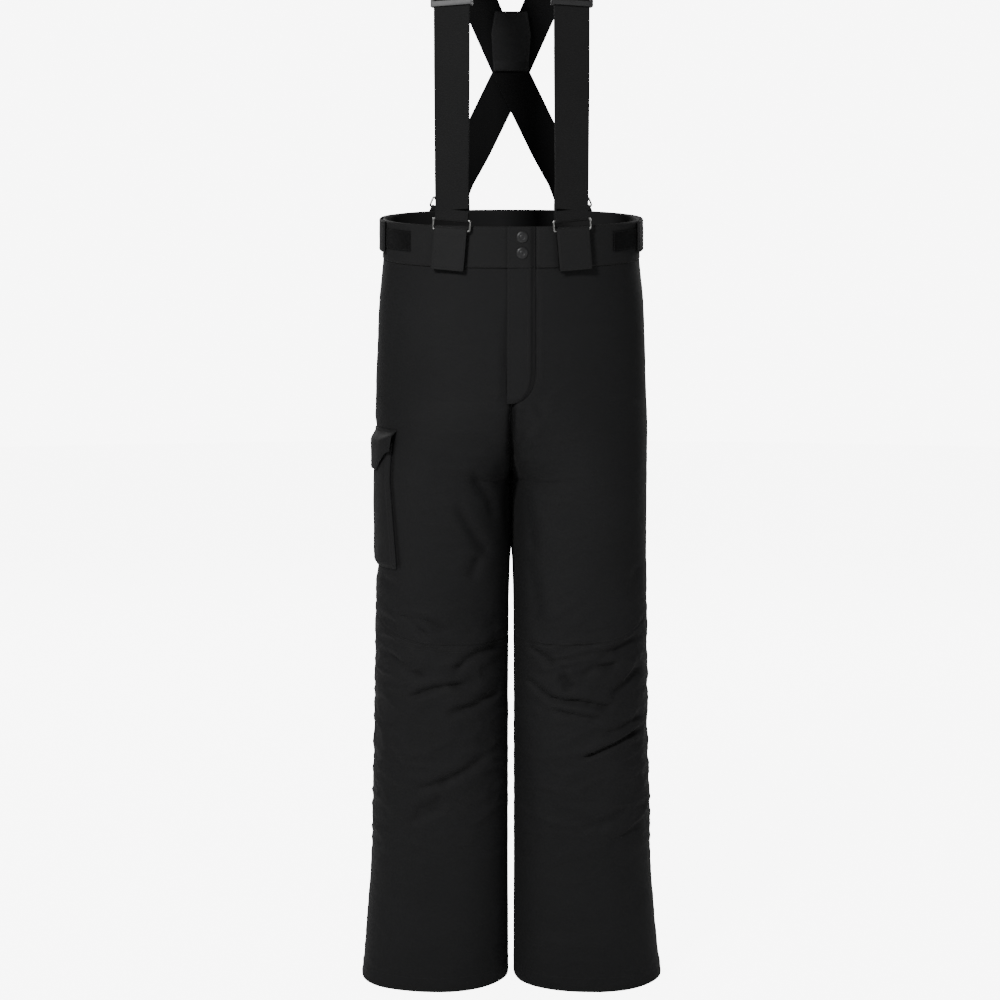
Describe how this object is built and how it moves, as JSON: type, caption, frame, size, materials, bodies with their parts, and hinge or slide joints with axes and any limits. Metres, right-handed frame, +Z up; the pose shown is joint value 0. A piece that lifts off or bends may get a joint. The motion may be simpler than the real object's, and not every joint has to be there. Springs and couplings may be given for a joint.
{
  "type": "ski pants",
  "caption": "Insulated ski trousers with detachable elastic X-back suspenders, snapped fly flap, hook-and-loop waist adjusters, cargo pocket and inner boot gaiters.",
  "frame": {"origin": "centre of the waist opening at the height of the side rims", "axes": "+Z up along the wearer's body, -Y to the front, +X to the wearer's left"},
  "size_m": [0.414, 0.2712, 1.4089],
  "materials": {
    "shell": "matte woven polyester shell, black",
    "webbing": "ribbed elastic webbing, black",
    "ring_metal": "satin nickel-plated wire",
    "gunmetal_plastic": "satin dark grey",
    "snap_cap": "satin dark grey",
    "snap_metal": "satin",
    "zip_metal": "satin dark grey",
    "zip_tape": "matte",
    "hook_and_loop": "matte pile",
    "lining": "smooth taffeta, black",
    "elastic": "matte knitted elastic",
    "patch": "matte coated fabric"
  },
  "bodies": {
    "pants": {"front_thigh_panel_right": "shell", "front_lower_panel_right": "shell", "back_panel_right": "shell", "lining_front_right": "lining", "lining_back_right": "lining", "boot_gaiter_right": "lining", "gaiter_elastic_right": "elastic", "front_thigh_panel_left": "shell", "front_lower_panel_left": "shell", "back_panel_left": "shell", "lining_front_left": "lining", "lining_back_left": "lining", "boot_gaiter_left": "lining", "gaiter_elastic_left": "elastic", "waistband_front_right": "shell", "waistband_front_left": "shell", "waistband_back": "shell", "snap_stud_upper": "snap_metal", "snap_back_upper": "snap_metal", "snap_stud_lower": "snap_metal", "snap_back_lower": "snap_metal", "fly_zip_tape_right": "zip_tape", "fly_zip_tape_left": "zip_tape", "fly_zip_stop": "zip_metal", "fly_shield": "shell", "loop_tape_right": "hook_and_loop", "loop_tape_left": "hook_and_loop", "ring_front_right": "ring_metal", "tab_base_front_right": "shell", "ring_front_left": "ring_metal", "tab_base_front_left": "shell", "ring_back_right": "ring_metal", "tab_base_back_right": "shell", "ring_back_left": "ring_metal", "tab_base_back_left": "shell", "strap_right": "webbing", "strap_left": "webbing", "cross_patch_inner": "patch", "cross_patch_outer": "patch", "cargo_pocket": "shell", "cargo_loop_tape": "hook_and_loop"},
    "fly_overlap": {"waistband_overlap": "shell", "fly_flap": "shell", "snap_cap_upper": "snap_cap", "snap_cap_lower": "snap_cap"},
    "zip_slider": {"fly_zip_slider": "zip_metal", "fly_zip_pull": "zip_metal"},
    "side_tab_right": {"side_tab_right": "shell"},
    "side_tab_left": {"side_tab_left": "shell"},
    "cargo_flap": {"cargo_flap": "shell", "cargo_hook_tape": "hook_and_loop"},
    "adjuster_right": {"adjuster_right": "gunmetal_plastic"},
    "adjuster_left": {"adjuster_left": "gunmetal_plastic"},
    "tab_front_right": {"tab_front_right": "shell"},
    "tab_front_left": {"tab_front_left": "shell"},
    "tab_back_right": {"tab_back_right": "shell"},
    "tab_back_left": {"tab_back_left": "shell"}
  },
  "joints": [
    {"name": "fly_flap_hinge", "type": "hinge", "parent": "pants", "child": "fly_overlap", "pos_m": [0.02695, -0.11851, -0.11435], "axis": [0, 0, 1], "range_deg": [0, 75]},
    {"name": "fly_zip_slide", "type": "slide", "parent": "pants", "child": "zip_slider", "axis": [0, 0, -1], "range_m": [0, 0.13]},
    {"name": "side_tab_hinge_right", "type": "hinge", "parent": "pants", "child": "side_tab_right", "pos_m": [-0.14309, 0.07246, -0.01269], "axis": [0, 0, -1], "range_deg": [0, 80]},
    {"name": "side_tab_hinge_left", "type": "hinge", "parent": "pants", "child": "side_tab_left", "pos_m": [0.14309, 0.07246, -0.01269], "axis": [0, 0, 1], "range_deg": [0, 80]},
    {"name": "tab_hinge_front_right", "type": "hinge", "parent": "pants", "child": "tab_front_right", "pos_m": [-0.07738, -0.11561, -0.021], "axis": [-0.9577, 0.2743, 0.0872], "range_deg": [0, 95]},
    {"name": "tab_hinge_front_left", "type": "hinge", "parent": "pants", "child": "tab_front_left", "pos_m": [0.07738, -0.11561, -0.021], "axis": [-0.9577, -0.2743, -0.0872], "range_deg": [0, 95]},
    {"name": "tab_hinge_back_right", "type": "hinge", "parent": "pants", "child": "tab_back_right", "pos_m": [-0.09065, 0.1053, 0.00908], "axis": [0.8649, 0.3356, -0.3733], "range_deg": [0, 95]},
    {"name": "tab_hinge_back_left", "type": "hinge", "parent": "pants", "child": "tab_back_left", "pos_m": [0.09065, 0.1053, 0.00908], "axis": [0.8649, -0.3356, 0.3733], "range_deg": [0, 95]},
    {"name": "adjuster_slide_right", "type": "slide", "parent": "pants", "child": "adjuster_right", "axis": [0, 0.0958, 0.9954], "range_m": [-0.12, 0.035]},
    {"name": "adjuster_slide_left", "type": "slide", "parent": "pants", "child": "adjuster_left", "axis": [0, 0.0958, 0.9954], "range_m": [-0.12, 0.035]},
    {"name": "cargo_flap_hinge", "type": "hinge", "parent": "pants", "child": "cargo_flap", "pos_m": [-0.1887, 0, -0.28003], "axis": [0, 1, 0], "range_deg": [0, 70]}
  ]
}
